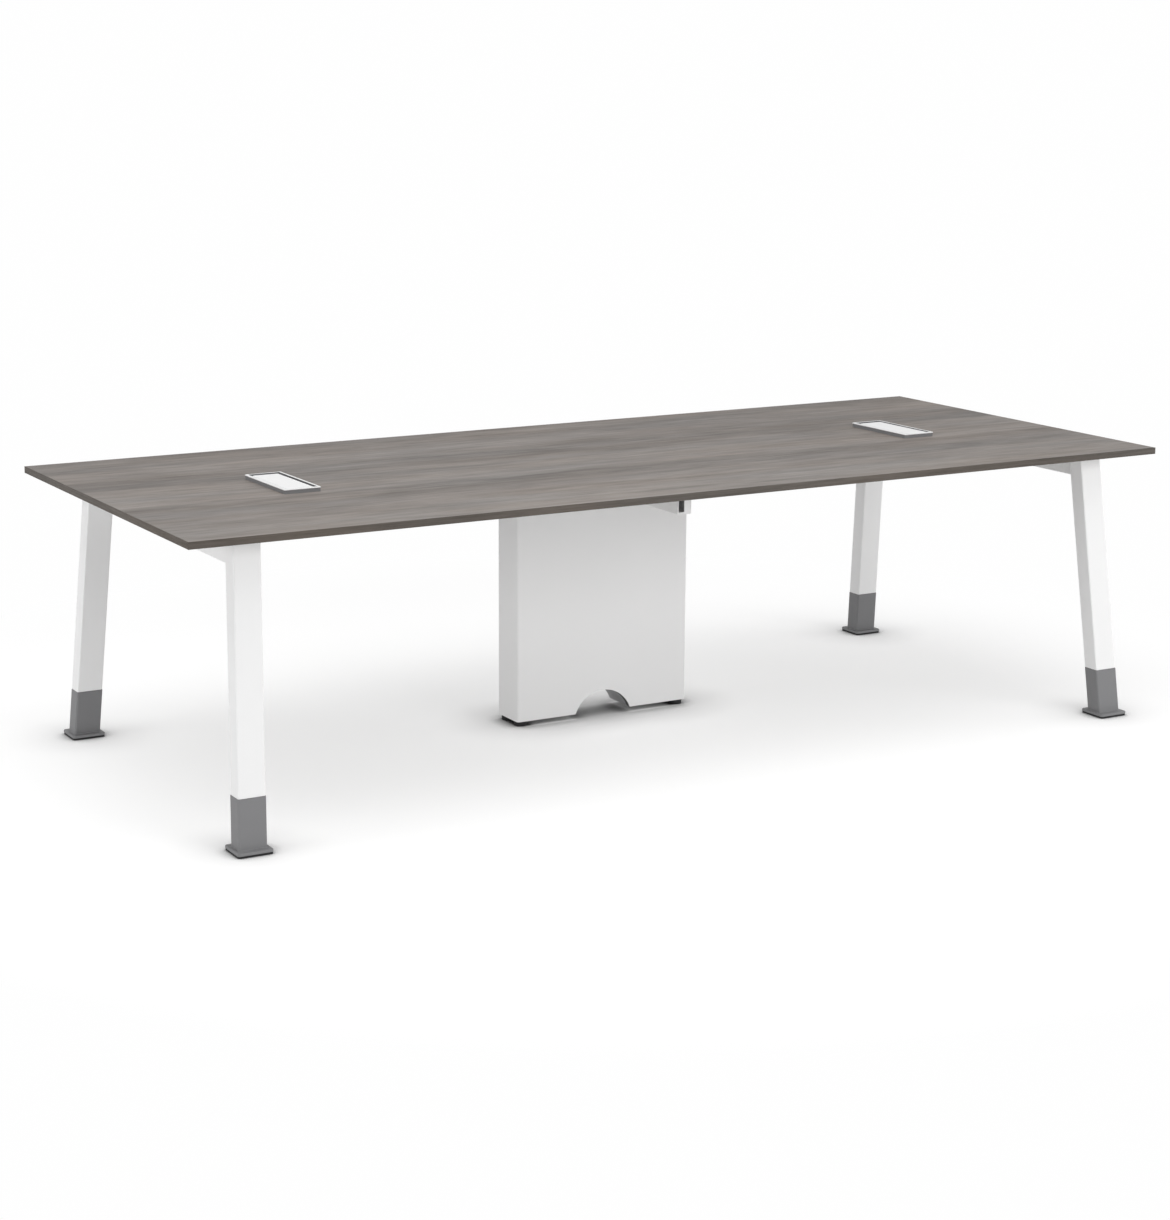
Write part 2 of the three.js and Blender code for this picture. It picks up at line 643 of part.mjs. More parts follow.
function boxTray() {
  const x = 2 * (rimX - SEAT);
  const y = 2 * (rimY - SEAT);
  const rim = hingeZ - LID_BARREL - TRAY_RIM_DROP;
  const floor = rim - TRAY_DEPTH;
  const outside = prism(rectangle(x, y), floor, rim);
  const inside = prism(
    rectangle(x - 2 * TRAY_SHEET, y - 2 * TRAY_SHEET),
    floor + TRAY_SHEET,
    rim + 1,
  );
  const exits = [-1, 1].map((side) =>
    prism(rectangle(TRAY_EXIT_LENGTH, TRAY_EXIT_WIDTH, 6), floor - 1, floor + TRAY_SHEET + 1)
      .translate(0, side * (y / 2 - TRAY_EXIT_WIDTH), 0),
  );
  return cut(outside, inside, ...exits);
}

for (const end of ENDS) {
  const box = new THREE.Group();
  box.position.set(end.boxX, 0, TOP_HEIGHT);
  table.add(box);
  const name = `cable_box_${end.tag}`;
  place(box, `${name}_frame`, boxFrame(), WHITE_STEEL);
  place(box, `${name}_lid`, boxLid(), WHITE_STEEL);
  place(box, `${name}_surround`, boxSurround(), GREY_PLASTIC);
  place(box, `${name}_tray`, boxTray(), GREY_PLASTIC);
  const nearPin = barY(PIN_DIAMETER, -rimY - PIN_IN_RIM, lidNear + PIN_IN_LID);
  const farPin = barY(PIN_DIAMETER, lidFar - PIN_IN_LID, rimY + PIN_IN_RIM);
  place(box, `${name}_pin_near`, nearPin, ZINC, hingeX, 0, hingeZ);
  place(box, `${name}_pin_far`, farPin, ZINC, hingeX, 0, hingeZ);
}

export default table;
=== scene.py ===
# %% [markdown]
# # A conference table, dressed piece by piece
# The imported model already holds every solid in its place. This lesson loads it as a fixed frame,
# sets up a camera and a plain studio, mixes the finishes, and then puts better-shaped pieces over
# the solids that the eye rests on: edging, legs, feet, beams, column and cable boxes.

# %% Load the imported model
import math

import bmesh
import bpy
from mathutils import Matrix, Vector


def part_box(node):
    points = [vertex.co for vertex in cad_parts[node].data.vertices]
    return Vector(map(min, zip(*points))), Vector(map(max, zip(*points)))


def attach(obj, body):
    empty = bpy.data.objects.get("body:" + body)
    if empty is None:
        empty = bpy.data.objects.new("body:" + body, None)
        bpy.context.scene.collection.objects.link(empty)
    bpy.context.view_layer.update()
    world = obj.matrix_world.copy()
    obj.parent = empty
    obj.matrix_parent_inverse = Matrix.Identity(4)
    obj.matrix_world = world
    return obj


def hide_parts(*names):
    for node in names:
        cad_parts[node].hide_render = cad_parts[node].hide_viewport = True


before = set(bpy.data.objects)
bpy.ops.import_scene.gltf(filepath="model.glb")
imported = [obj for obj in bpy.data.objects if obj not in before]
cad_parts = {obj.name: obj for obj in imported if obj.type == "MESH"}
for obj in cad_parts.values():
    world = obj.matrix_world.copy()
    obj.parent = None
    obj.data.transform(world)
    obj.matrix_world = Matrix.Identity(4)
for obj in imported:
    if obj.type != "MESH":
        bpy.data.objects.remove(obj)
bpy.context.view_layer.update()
scene = bpy.context.scene
scene.view_settings.view_transform = "Standard"
MM = 0.001
BODY = "table"
CORNERS = {"fl": (-1, -1), "fr": (1, -1), "bl": (-1, 1), "br": (1, 1)}
ENDS = ("left", "right")

# %% [markdown]
# ## The camera
# A picture's straight edges tell where the camera stood. The corners of the top, the legs and the
# column were lined up with the solids, which gives a place, a heading and a focal length in pixels.
# Turning a camera by eye could come close; these numbers come from the fit.
# Blender wants millimetres of lens on a 36 mm sensor, so the pixels are scaled to the image's long
# side, and the small shift puts the optical axis where the picture has it.

# %% Camera at the picture's viewing angle
IMAGE_WIDTH, IMAGE_HEIGHT = 1170, 1220
FOCAL_PIXELS = 2558.1
AXIS_X, AXIS_Y = 557.0, 566.0
CAMERA_PLACE = Vector((-3.4681, -5.9081, 1.8639))
HEADING, TILT, ROLL = 0.512, 0.204, -0.003
SENSOR = 36.0
FARTHEST = 200.0  # metres ahead that the camera still shows


def picture_camera():
    ahead = math.cos(TILT)
    forward = Vector((math.sin(HEADING) * ahead, math.cos(HEADING) * ahead, -math.sin(TILT)))
    level = Vector((math.cos(HEADING), -math.sin(HEADING), 0))
    down = forward.cross(level)
    right = math.cos(ROLL) * level + math.sin(ROLL) * down
    down = math.cos(ROLL) * down - math.sin(ROLL) * level
    data = bpy.data.cameras.new("picture_camera")
    long_side = max(IMAGE_WIDTH, IMAGE_HEIGHT)
    data.sensor_width = SENSOR
    data.lens = FOCAL_PIXELS * SENSOR / long_side
    data.shift_x = (IMAGE_WIDTH / 2 - AXIS_X) / long_side
    data.shift_y = (AXIS_Y - IMAGE_HEIGHT / 2) / long_side
    data.clip_end = FARTHEST
    camera = bpy.data.objects.new("picture_camera", data)
    scene.collection.objects.link(camera)
    turn = Matrix((right, -down, -forward)).transposed()
    camera.matrix_world = Matrix.Translation(CAMERA_PLACE) @ turn.to_4x4()
    scene.camera = camera
    return camera


camera = picture_camera()
print("lens", round(camera.data.lens, 2), "mm")

# %% [markdown]
# ## The studio
# The picture has a white ground that still carries soft shadows. A floor that is only lit would
# need too much light on the table, so the camera sees a duller floor with a plain glow added: white
# where nothing shades it, pale grey under the table. Ambient occlusion shades it at two scales. The
# wide one dims the glow around a foot; the tight one dims glow and lit floor where rubber meets the
# floor, most of all where a place is shut in from every side. Far from the table the floor is all
# glow and meets the white world without a line. All other rays see an ordinary pale floor, which
# throws soft light up under the top. Five soft boxes light the table: one overhead, two in front
# and one at each end.

# %% Helpers for node trees
def add_node(tree, kind, **inputs):
    made = tree.nodes.new(kind)
    for name, value in inputs.items():
        made.inputs[name.replace("_", " ")].default_value = value
    return made


def link(tree, source, target):
    tree.links.new(source, target)


def math_node(tree, operation, first, second=None, clamp=False):
    made = tree.nodes.new("ShaderNodeMath")
    made.operation = operation
    made.use_clamp = clamp
    for socket, value in zip(made.inputs, (first, second)):
        if value is None:
            continue
        if isinstance(value, (int, float)):
            socket.default_value = value
        else:
            link(tree, value, socket)
    return made.outputs[0]


def remap(tree, value, low, high, to_low, to_high):
    made = add_node(tree, "ShaderNodeMapRange", From_Min=low, From_Max=high, To_Min=to_low, To_Max=to_high)
    link(tree, value, made.inputs["Value"])
    return made.outputs["Result"]


def seen_rays(tree):
    """One for camera, glossy and transmission rays, nought for all others."""
    path = tree.nodes.new("ShaderNodeLightPath")
    both = math_node(tree, "MAXIMUM", path.outputs["Is Camera Ray"], path.outputs["Is Glossy Ray"])
    return math_node(tree, "MAXIMUM", both, path.outputs["Is Transmission Ray"])


print("node helpers: add_node, link, math_node, remap, seen_rays")

# %% Finish of the floor
FLOOR_TONE = 0.92  # what the table sees
FLOOR_LIT = 0.62  # what the camera sees of the light and shadow
FLOOR_PLAIN = 0.535  # plain white under it
WHITE = 0.995
NEAR_REACH, NEAR_DEPTH = 0.19, 1.7  # the wide shade: metres, power
TIGHT_REACH = 0.045  # the tight one
SHUT_IN, SHUT_OUT = 0.12, 0.5  # open sky above a shut-in place and above an open one
FADE_FROM, FADE_TO = 1.35, 2.35  # metres from the middle of the table
SKY_SAMPLES = 5


def open_sky(tree, reach):
    made = add_node(tree, "ShaderNodeAmbientOcclusion", Distance=reach)
    made.samples = SKY_SAMPLES
    return made.outputs["AO"]


def floor_finish():
    material = bpy.data.materials.new("studio_floor")
    material.use_nodes = True
    tree = material.node_tree
    tree.nodes.clear()
    place = tree.nodes.new("ShaderNodeTexCoord")
    length = tree.nodes.new("ShaderNodeVectorMath")
    length.operation = "LENGTH"
    link(tree, place.outputs["Object"], length.inputs[0])
    away = length.outputs["Value"]
    plain = remap(tree, away, FADE_FROM, FADE_TO, FLOOR_PLAIN, WHITE)
    lit = remap(tree, away, FADE_FROM, FADE_TO, FLOOR_LIT, 0.0)
    around = open_sky(tree, NEAR_REACH)
    near = math_node(tree, "POWER", around, NEAR_DEPTH)
    shut = remap(tree, around, SHUT_IN, SHUT_OUT, 0.0, 1.0)
    tight = math_node(tree, "MULTIPLY", open_sky(tree, TIGHT_REACH), shut)
    seen = seen_rays(tree)
    for_camera = math_node(tree, "MULTIPLY", seen, math_node(tree, "MULTIPLY", lit, tight))
    for_others = math_node(tree, "MULTIPLY", math_node(tree, "SUBTRACT", 1.0, seen), FLOOR_TONE)
    diffuse = tree.nodes.new("ShaderNodeBsdfDiffuse")
    link(tree, math_node(tree, "ADD", for_camera, for_others), diffuse.inputs["Color"])
    glow = tree.nodes.new("ShaderNodeEmission")
    link(tree, math_node(tree, "MULTIPLY", tight, near), glow.inputs["Color"])
    link(tree, math_node(tree, "MULTIPLY", seen, plain), glow.inputs["Strength"])
    total = tree.nodes.new("ShaderNodeAddShader")
    link(tree, diffuse.outputs[0], total.inputs[0])
    link(tree, glow.outputs[0], total.inputs[1])
    out = tree.nodes.new("ShaderNodeOutputMaterial")
    link(tree, total.outputs[0], out.inputs[0])
    return material


FLOOR = floor_finish()
print("floor nodes", len(FLOOR.node_tree.nodes))

# %% Floor, world and soft boxes
FLOOR_HALF = 45.0
WORLD_LIGHT = 0.38
# Name, place, target, width, height, watts
SOFT_BOXES = (
    ("overhead_box", (-1.1, -0.8, 4.9), (-0.4, 0, 0.7), 5.6, 3.6, 123),
    ("front_box", (3.0, -7.6, 3.8), (0.3, 0, 0.3), 5.0, 3.0, 162),
    ("low_box", (-0.6, -7.6, 0.6), (0, 0, 0.4), 6.0, 0.9, 80),
    ("side_box", (-7.0, 0.6, 1.4), (0, 0, 0.4), 3.5, 2.2, 108),
    ("right_box", (6.2, -1.3, 1.1), (0.6, 0.2, 0.4), 3.0, 1.8, 82),
)


def studio_floor():
    bm = bmesh.new()
    bmesh.ops.create_grid(bm, x_segments=2, y_segments=2, size=FLOOR_HALF)
    mesh = bpy.data.meshes.new("studio_floor")
    bm.to_mesh(mesh)
    bm.free()
    mesh.materials.append(FLOOR)
    floor = bpy.data.objects.new("studio_floor", mesh)
    scene.collection.objects.link(floor)


def studio_world():
    world = bpy.data.worlds.new("studio_world")
    scene.world = world
    world.use_nodes = True
    tree = world.node_tree
    tree.nodes.clear()
    strength = remap(tree, seen_rays(tree), 0, 1, WORLD_LIGHT, WHITE)
    light = add_node(tree, "ShaderNodeBackground", Color=(1, 1, 1, 1))
    link(tree, strength, light.inputs["Strength"])
    out = tree.nodes.new("ShaderNodeOutputWorld")
    link(tree, light.outputs[0], out.inputs[0])


def soft_box(name, place, target, width, height, watts):
    data = bpy.data.lights.new(name, "AREA")
    data.shape = "RECTANGLE"
    data.size, data.size_y = width, height
    data.energy = watts
    lamp = bpy.data.objects.new(name, data)
    scene.collection.objects.link(lamp)
    aim = Vector(target) - Vector(place)
    lamp.matrix_world = Matrix.Translation(place) @ aim.to_track_quat("-Z", "Y").to_matrix().to_4x4()


studio_floor()
studio_world()
for box in SOFT_BOXES:
    soft_box(*box)
print("floor, world and soft boxes", len(SOFT_BOXES))

# %% [markdown]
# ## Finishes that several pieces share
# Powder coat, moulded plastic and rubber all have a fine skin with a slow drift of tone under it.
# Each could have its own noise nodes, but one node group, placed in each material with its own grain
# size, says it once. Wood decor is streaks of several lengths laid over one another, so a second
# group makes one layer of streaks. Groups give out only values that change over the surface; the
# shader itself stays in each material.

# %% Node groups: skin and streaks
def new_group(name, inputs, outputs):
    tree = bpy.data.node_groups.new(name, "ShaderNodeTree")
    for label, kind, value in inputs:
        socket = tree.interface.new_socket(label, in_out="INPUT", socket_type=kind)
        if value is not None:
            socket.default_value = value
    for label in outputs:
        tree.interface.new_socket(label, in_out="OUTPUT", socket_type="NodeSocketFloat")
    return tree, tree.nodes.new("NodeGroupInput"), tree.nodes.new("NodeGroupOutput")


def skin_group():
    inputs = [
        ("Vector", "NodeSocketVector", None),
        ("Grain", "NodeSocketFloat", 900.0),
        ("Drift", "NodeSocketFloat", 3.0),
    ]
    tree, given, out = new_group("surface_skin", inputs, ("Height", "Cloud"))
    fine = add_node(tree, "ShaderNodeTexNoise", Detail=2.0, Roughness=0.6)
    slow = add_node(tree, "ShaderNodeTexNoise", Detail=3.0, Roughness=0.5)
    for noise, scale, label in ((fine, "Grain", "Height"), (slow, "Drift", "Cloud")):
        link(tree, given.outputs["Vector"], noise.inputs["Vector"])
        link(tree, given.outputs[scale], noise.inputs["Scale"])
        link(tree, noise.outputs["Fac"], out.inputs[label])
    return tree


def streak_group():
    inputs = [
        ("Vector", "NodeSocketVector", None),
        ("Along", "NodeSocketFloat", 1.0),
        ("Across", "NodeSocketFloat", 20.0),
        ("Shift", "NodeSocketFloat", 0.0),
    ]
    tree, given, out = new_group("wood_streaks", inputs, ("Streak",))
    scale = tree.nodes.new("ShaderNodeCombineXYZ")
    for socket, label in zip(scale.inputs, ("Along", "Across", "Across")):
        link(tree, given.outputs[label], socket)
    stretch = tree.nodes.new("ShaderNodeVectorMath")
    stretch.operation = "MULTIPLY_ADD"
    link(tree, given.outputs["Vector"], stretch.inputs[0])
    link(tree, scale.outputs[0], stretch.inputs[1])
    link(tree, given.outputs["Shift"], stretch.inputs[2])
    noise = add_node(tree, "ShaderNodeTexNoise", Scale=1.0, Detail=3.0, Roughness=0.55)
    link(tree, stretch.outputs[0], noise.inputs["Vector"])
    link(tree, noise.outputs["Fac"], out.inputs["Streak"])
    return tree


SKIN = skin_group()
STREAKS = streak_group()
print("node groups", SKIN.name, STREAKS.name)

# %% Helpers for materials
def new_finish(name, roughness, specular=0.5, metallic=0.0):
    material = bpy.data.materials.new(name)
    material.use_nodes = True
    tree = material.node_tree
    shader = tree.nodes["Principled BSDF"]
    shader.inputs["Roughness"].default_value = roughness
    shader.inputs["Specular IOR Level"].default_value = specular
    shader.inputs["Metallic"].default_value = metallic
    place = tree.nodes.new("ShaderNodeTexCoord").outputs["Object"]
    return material, tree, shader, place


def group_node(tree, group, vector, **inputs):
    made = tree.nodes.new("ShaderNodeGroup")
    made.node_tree = group
    link(tree, vector, made.inputs["Vector"])
    for name, value in inputs.items():
        made.inputs[name].default_value = value
    return made


def two_tone(tree, factor, dark, light):
    mix = tree.nodes.new("ShaderNodeMix")
    mix.data_type = "RGBA"
    link(tree, factor, mix.inputs[0])
    mix.inputs[6].default_value = (*dark, 1)
    mix.inputs[7].default_value = (*light, 1)
    return mix.outputs[2]


def bump(tree, shader, height, strength, distance):
    made = add_node(tree, "ShaderNodeBump", Strength=strength, Distance=distance)
    link(tree, height, made.inputs["Height"])
    link(tree, made.outputs[0], shader.inputs["Normal"])


def tint(colour, factor):
    return tuple(min(c * factor, 1.0) for c in colour)


print("material helpers: new_finish, group_node, two_tone, bump, tint")

# %% [markdown]
# ## Powder coat, moulding, rubber and zinc
# The steel is powder-coated: smooth, a touch of orange peel that only shows where a light catches
# it. The feet are moulded with a finer, duller grain. Rubber is nearly black and dull. All of these
# are one recipe with other numbers, so one function mixes them. Zinc plating is the one bare metal,
# and gets a recipe of its own, with a cloudy spangle in its tone and roughness.

# %% Coated and moulded finishes
NOISE_LOW, NOISE_HIGH = 0.3, 0.7  # where most of a noise lies
SKIN_DEPTH = 0.2 * MM
COATED = dict(spread=0.01, grain=1300.0, roughness=0.42, rough_spread=0.05, relief=0.05)
MOULDED = dict(spread=0.05, grain=2400.0, roughness=0.56, rough_spread=0.07, relief=0.16, specular=0.4)
SMOOTHER = dict(MOULDED, spread=0.04, roughness=0.5, relief=0.12)
RUBBERY = dict(spread=0.2, grain=1800.0, roughness=0.72, rough_spread=0.08, relief=0.2, specular=0.35)


def skinned(name, colour, spread, grain, roughness, rough_spread, relief, specular=0.5):
    material, tree, shader, place = new_finish(name, roughness, specular)
    skin = group_node(tree, SKIN, place, Grain=grain)
    tone = two_tone(tree, skin.outputs["Cloud"], tint(colour, 1 - spread), tint(colour, 1 + spread))
    link(tree, tone, shader.inputs["Base Color"])
    smooth, rough = roughness - rough_spread, roughness + rough_spread
    height = skin.outputs["Height"]
    link(tree, remap(tree, height, NOISE_LOW, NOISE_HIGH, smooth, rough), shader.inputs["Roughness"])
    bump(tree, shader, height, relief, SKIN_DEPTH)
    return material


WHITE_COAT = skinned("white_powder_coat", (0.87, 0.87, 0.87), **COATED)
GREY_MOULDING = skinned("grey_moulding", (0.2, 0.2, 0.205), **MOULDED)
PALE_MOULDING = skinned("pale_moulding", (0.5, 0.5, 0.505), **SMOOTHER)
# A dark grey used only for the band in the arch's front mouth, where it is painted shade.
PAINTED_ARCH_SHADE = skinned("painted_arch_shade", (0.12, 0.12, 0.122), **MOULDED)
BLACK_RUBBER = skinned("black_rubber", (0.014, 0.014, 0.015), **RUBBERY)
print("coat and rubber", WHITE_COAT.name, BLACK_RUBBER.name)
print("mouldings", GREY_MOULDING.name, PALE_MOULDING.name, PAINTED_ARCH_SHADE.name)

# %% Zinc plating
SPANGLES = 420.0  # cells per metre
SPANGLE_RIM = 0.8  # distance at which a cell ends
PLATE_ROUGH = (0.26, 0.44)
PLATE_TONES = (0.9, 1.08)


def plated(name, colour):
    material, tree, shader, place = new_finish(name, sum(PLATE_ROUGH) / 2, metallic=1.0)
    spangle = add_node(tree, "ShaderNodeTexVoronoi", Scale=SPANGLES)
    link(tree, place, spangle.inputs["Vector"])
    cell = spangle.outputs["Distance"]
    dark, light = [tint(colour, share) for share in PLATE_TONES]
    link(tree, two_tone(tree, cell, dark, light), shader.inputs["Base Color"])
    link(tree, remap(tree, cell, 0.0, SPANGLE_RIM, *PLATE_ROUGH), shader.inputs["Roughness"])
    return material


ZINC = plated("zinc_plate", (0.60, 0.62, 0.64))
print("plating", ZINC.name)

# %% [markdown]
# ## The wood decor
# The top is a board with a printed wood decor: wide planks side by side, each drifting from one
# tone to another across its width, with straight seams, and over them streaks that run the length
# of the table. The planks' tones are partly painted light: the front of the top is lighter and the
# back darker, as the light falls. A wave texture would repeat itself, so each streak layer is a
# noise stretched along the table, and four placings of one group give broad, middling, fine and
# finest streaks. Thin dark lines where a slow noise crosses its middle stand for growth rings, the
# peaks of a still finer one give short dark pores, and a slow drift of hue keeps the grey-brown from
# looking flat.
# The decor reads Object coordinates in metres, so it never slides. The edging is the same recipe,
# darker, and turned for the short sides.

# %% Planks across the top
PLANK = 0.27
PLANK_START = -0.69
# Tone at each plank's front and back edge: partly the decor's own plank tones, partly painted light, lighter
# towards the front of the top and darker towards the back.
PLANK_TONES_AND_FALLOFF = ((0.25, 0.09), (0.08, -0.13), (0.14, 0.01), (-0.17, 0.04), (0.02, -0.12))  # front, back
SEAM = 0.06  # how softly planks meet, as a share of their width
WANDER = 0.025  # how far a plank's edge wanders, in metres of noise
TONE_SPAN = 0.4  # darkest and lightest wood, as shares of the mean tone
MEAN = 0.5  # middle of a noise, and of the scale from darkest to lightest


def plank_ramp(tree, place):
    count = len(PLANK_TONES_AND_FALLOFF)
    split = tree.nodes.new("ShaderNodeSeparateXYZ")
    link(tree, place, split.inputs[0])
    wave = group_node(tree, STREAKS, place, Along=0.8, Across=6.0, Shift=5.0)
    offset = remap(tree, wave.outputs["Streak"], 0.0, 1.0, -WANDER, WANDER)
    line = math_node(tree, "ADD", split.outputs["Y"], offset)
    position = remap(tree, line, PLANK_START, PLANK_START + PLANK * count, 0.0, 1.0)
    ramp = tree.nodes.new("ShaderNodeValToRGB")
    stops = ramp.color_ramp.elements
    while len(stops) > 1:
        stops.remove(stops[-1])
    for index, (front, back) in enumerate(PLANK_TONES_AND_FALLOFF):
        for inset, tone in ((SEAM, front), (1 - SEAM, back)):
            share = (index + inset) / count
            first = index == 0 and inset == SEAM
            stop = stops[0] if first else stops.new(share)
            stop.position = share
            level = MEAN + tone / (2 * TONE_SPAN)
            stop.color = (level, level, level, 1)
    link(tree, position, ramp.inputs[0])
    return ramp.outputs["Color"]


print("planks", len(PLANK_TONES_AND_FALLOFF), "of", PLANK, "m")

# %% Streaks, growth lines, pores and hue
WARM, COOL = (1.03, 0.995, 0.97), (0.985, 1.0, 1.02)
HUE_FROM, HUE_TO = 0.35, 0.65
LINE_WIDTH, LINE_DEPTH = 0.03, 0.1
PORE_FROM, PORE_TO, PORE_DEPTH = 0.58, 0.66, 0.18


def streak_sum(tree, place, layers, start):
    total = start
    for along, across, shift, weight in layers:
        layer = group_node(tree, STREAKS, place, Along=along, Across=across, Shift=shift)
        centred = math_node(tree, "SUBTRACT", layer.outputs["Streak"], MEAN)
        scaled = math_node(tree, "MULTIPLY", centred, weight / (2 * TONE_SPAN))
        total = math_node(tree, "ADD", total, scaled)
    return total


def growth_lines(tree, place):
    """Thin lines where a slow noise crosses its middle, as growth rings cut lengthwise."""
    rings = group_node(tree, STREAKS, place, Along=1.5, Across=24.0, Shift=9.0)
    away = math_node(tree, "ABSOLUTE", math_node(tree, "SUBTRACT", rings.outputs["Streak"], MEAN))
    return remap(tree, away, 0.0, LINE_WIDTH, LINE_DEPTH, 0.0)


def pores(tree, place):
    finest = group_node(tree, STREAKS, place, Along=26.0, Across=760.0, Shift=4.0)
    return remap(tree, finest.outputs["Streak"], PORE_FROM, PORE_TO, 0.0, 1.0)


def hue_drift(tree, place, colour):
    drift = group_node(tree, STREAKS, place, Along=1.6, Across=9.0, Shift=11.0)
    hue = two_tone(tree, remap(tree, drift.outputs["Streak"], HUE_FROM, HUE_TO, 0.0, 1.0), WARM, COOL)
    mix = tree.nodes.new("ShaderNodeMix")
    mix.data_type = "RGBA"
    mix.blend_type = "MULTIPLY"
    mix.inputs[0].default_value = 1.0
    link(tree, colour, mix.inputs[6])
    link(tree, hue, mix.inputs[7])
    return mix.outputs[2]


print("wood helpers: streak_sum, growth_lines, pores, hue_drift")

# %% Wood for the top and the edging
TOP_TONE = (0.223, 0.204, 0.1895)
EDGE_TONE = (0.112, 0.099, 0.087)
# Streaks per metre along and across, shift of the noise, weight
TOP_LAYERS = (
    (1.8, 11.0, 0.0, 0.62),
    (4.6, 40.0, 7.0, 0.66),
    (9.0, 150.0, 2.0, 0.5),
    (16.0, 480.0, 3.0, 0.46),
)
EDGE_LAYERS = (
    (2.4, 30.0, 1.0, 0.6),
    (9.0, 240.0, 5.0, 0.7),
)
WOOD_ROUGH, WOOD_SPECULAR = 0.6, 0.12
TONE_LOW, TONE_HIGH = 0.2, 0.8
ROUGH_DARK, ROUGH_LIGHT = 0.66, 0.56
GRAIN_RELIEF, GRAIN_DEPTH = 0.12, 0.25 * MM


def wood(colour, layers, start, place, tree, shader):
    tone = streak_sum(tree, place, layers, start)
    tone = math_node(tree, "SUBTRACT", tone, growth_lines(tree, place))
    pore = pores(tree, place)
    tone = math_node(tree, "SUBTRACT", tone, math_node(tree, "MULTIPLY", pore, PORE_DEPTH), clamp=True)
    shades = two_tone(tree, tone, tint(colour, 1 - TONE_SPAN), tint(colour, 1 + TONE_SPAN))
    link(tree, hue_drift(tree, place, shades), shader.inputs["Base Color"])
    rough = remap(tree, tone, TONE_LOW, TONE_HIGH, ROUGH_DARK, ROUGH_LIGHT)
    link(tree, rough, shader.inputs["Roughness"])
    bump(tree, shader, math_node(tree, "SUBTRACT", tone, pore), GRAIN_RELIEF, GRAIN_DEPTH)


def top_wood():
    material, tree, shader, place = new_finish("wood_decor", WOOD_ROUGH, WOOD_SPECULAR)
    wood(TOP_TONE, TOP_LAYERS, plank_ramp(tree, place), place, tree, shader)
    return material


def edge_wood(name, turn):
    material, tree, shader, place = new_finish(name, WOOD_ROUGH, WOOD_SPECULAR)
    mapping = add_node(tree, "ShaderNodeMapping", Rotation=(0, 0, turn))
    link(tree, place, mapping.inputs["Vector"])
    wood(EDGE_TONE, EDGE_LAYERS, MEAN, mapping.outputs[0], tree, shader)
    return material


TOP_WOOD = top_wood()
EDGE_LONG = edge_wood("edging_along", 0.0)
EDGE_SHORT = edge_wood("edging_across", math.pi / 2)
print("wood", TOP_WOOD.name, EDGE_LONG.name, EDGE_SHORT.name)

# %% [markdown]
# ## Making a piece
# Every new piece goes the same way: shape a bmesh, mark its sharp edges, turn it into an object at
# the origin, let it ride its body and say which solids it stands for. A weighted-normal modifier
# keeps wide flat faces flat next to their small rounded edges; more faces could do that too, but at
# a cost that plain sheet and tube don't need.

# %% Helpers for pieces
SHARP = math.radians(35)
TOUCH = 1e-6


def shade(bm):
    for face in bm.faces:
        face.smooth = True
    for edge in bm.edges:
        edge.smooth = len(edge.link_faces) == 2 and edge.calc_face_angle(0.0) < SHARP


def make_piece(name, bm, material, body=BODY, stands_for=(), painted_shade=None):
    bm.normal_update()
    shade(bm)
    mesh = bpy.data.meshes.new(name)
    bm.to_mesh(mesh)
    bm.free()
    mesh.materials.append(material)
    # The second slot, when given, holds painted shade: a grey or dark grey on faces where shade falls.
    if painted_shade:
        mesh.materials.append(painted_shade)
    piece = bpy.data.objects.new(name, mesh)
    scene.collection.objects.link(piece)
    even = piece.modifiers.new("even_shading", "WEIGHTED_NORMAL")
    even.keep_sharp = True
    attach(piece, body)
    if stands_for:
        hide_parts(*stands_for)


def dressed(node):
    """A merged copy of a CAD node's mesh, ready for even shading."""
    bm = bmesh.new()
    bm.from_mesh(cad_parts[node].data)
    bmesh.ops.remove_doubles(bm, verts=bm.verts[:], dist=TOUCH)
    return bm


def paint_node(node, material):
    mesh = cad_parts[node].data
    mesh.materials.clear()
    mesh.materials.append(material)


print("piece helpers: shade, make_piece, dressed, paint_node")

# %% Helpers for shapes
def bevel(bm, edges, width, segments):
    bmesh.ops.bevel(
        bm, geom=edges, offset=width, offset_type="OFFSET", segments=segments, profile=0.5,
        affect="EDGES", material=-1, clamp_overlap=True,
    )


def post(width, depth, low, high, radius, segments=5):
    """An upright bar of rounded-rectangle section about the Z axis."""
    bm = bmesh.new()
    verts = bmesh.ops.create_cube(bm, size=1.0)["verts"]
    bmesh.ops.scale(bm, vec=(width, depth, high - low), verts=verts)
    bmesh.ops.translate(bm, vec=(0, 0, (low + high) / 2), verts=verts)
    upright = [e for e in bm.edges if abs(e.verts[0].co.z - e.verts[1].co.z) > (high - low) / 2]
    bevel(bm, upright, radius, segments)
    return bm


def level_edges(bm, height):
    return [e for e in bm.edges if all(abs(v.co.z - height) < TOUCH for v in e.verts)]


def drop_face(bm, height):
    faces = [f for f in bm.faces if all(abs(v.co.z - height) < TOUCH for v in f.verts)]
    bmesh.ops.delete(bm, geom=faces, context="FACES_ONLY")


def pour(target, source):
    """Puts one bmesh's geometry into another."""
    carrier = bpy.data.meshes.new("carrier")
    source.to_mesh(carrier)
    source.free()
    target.from_mesh(carrier)
    bpy.data.meshes.remove(carrier)


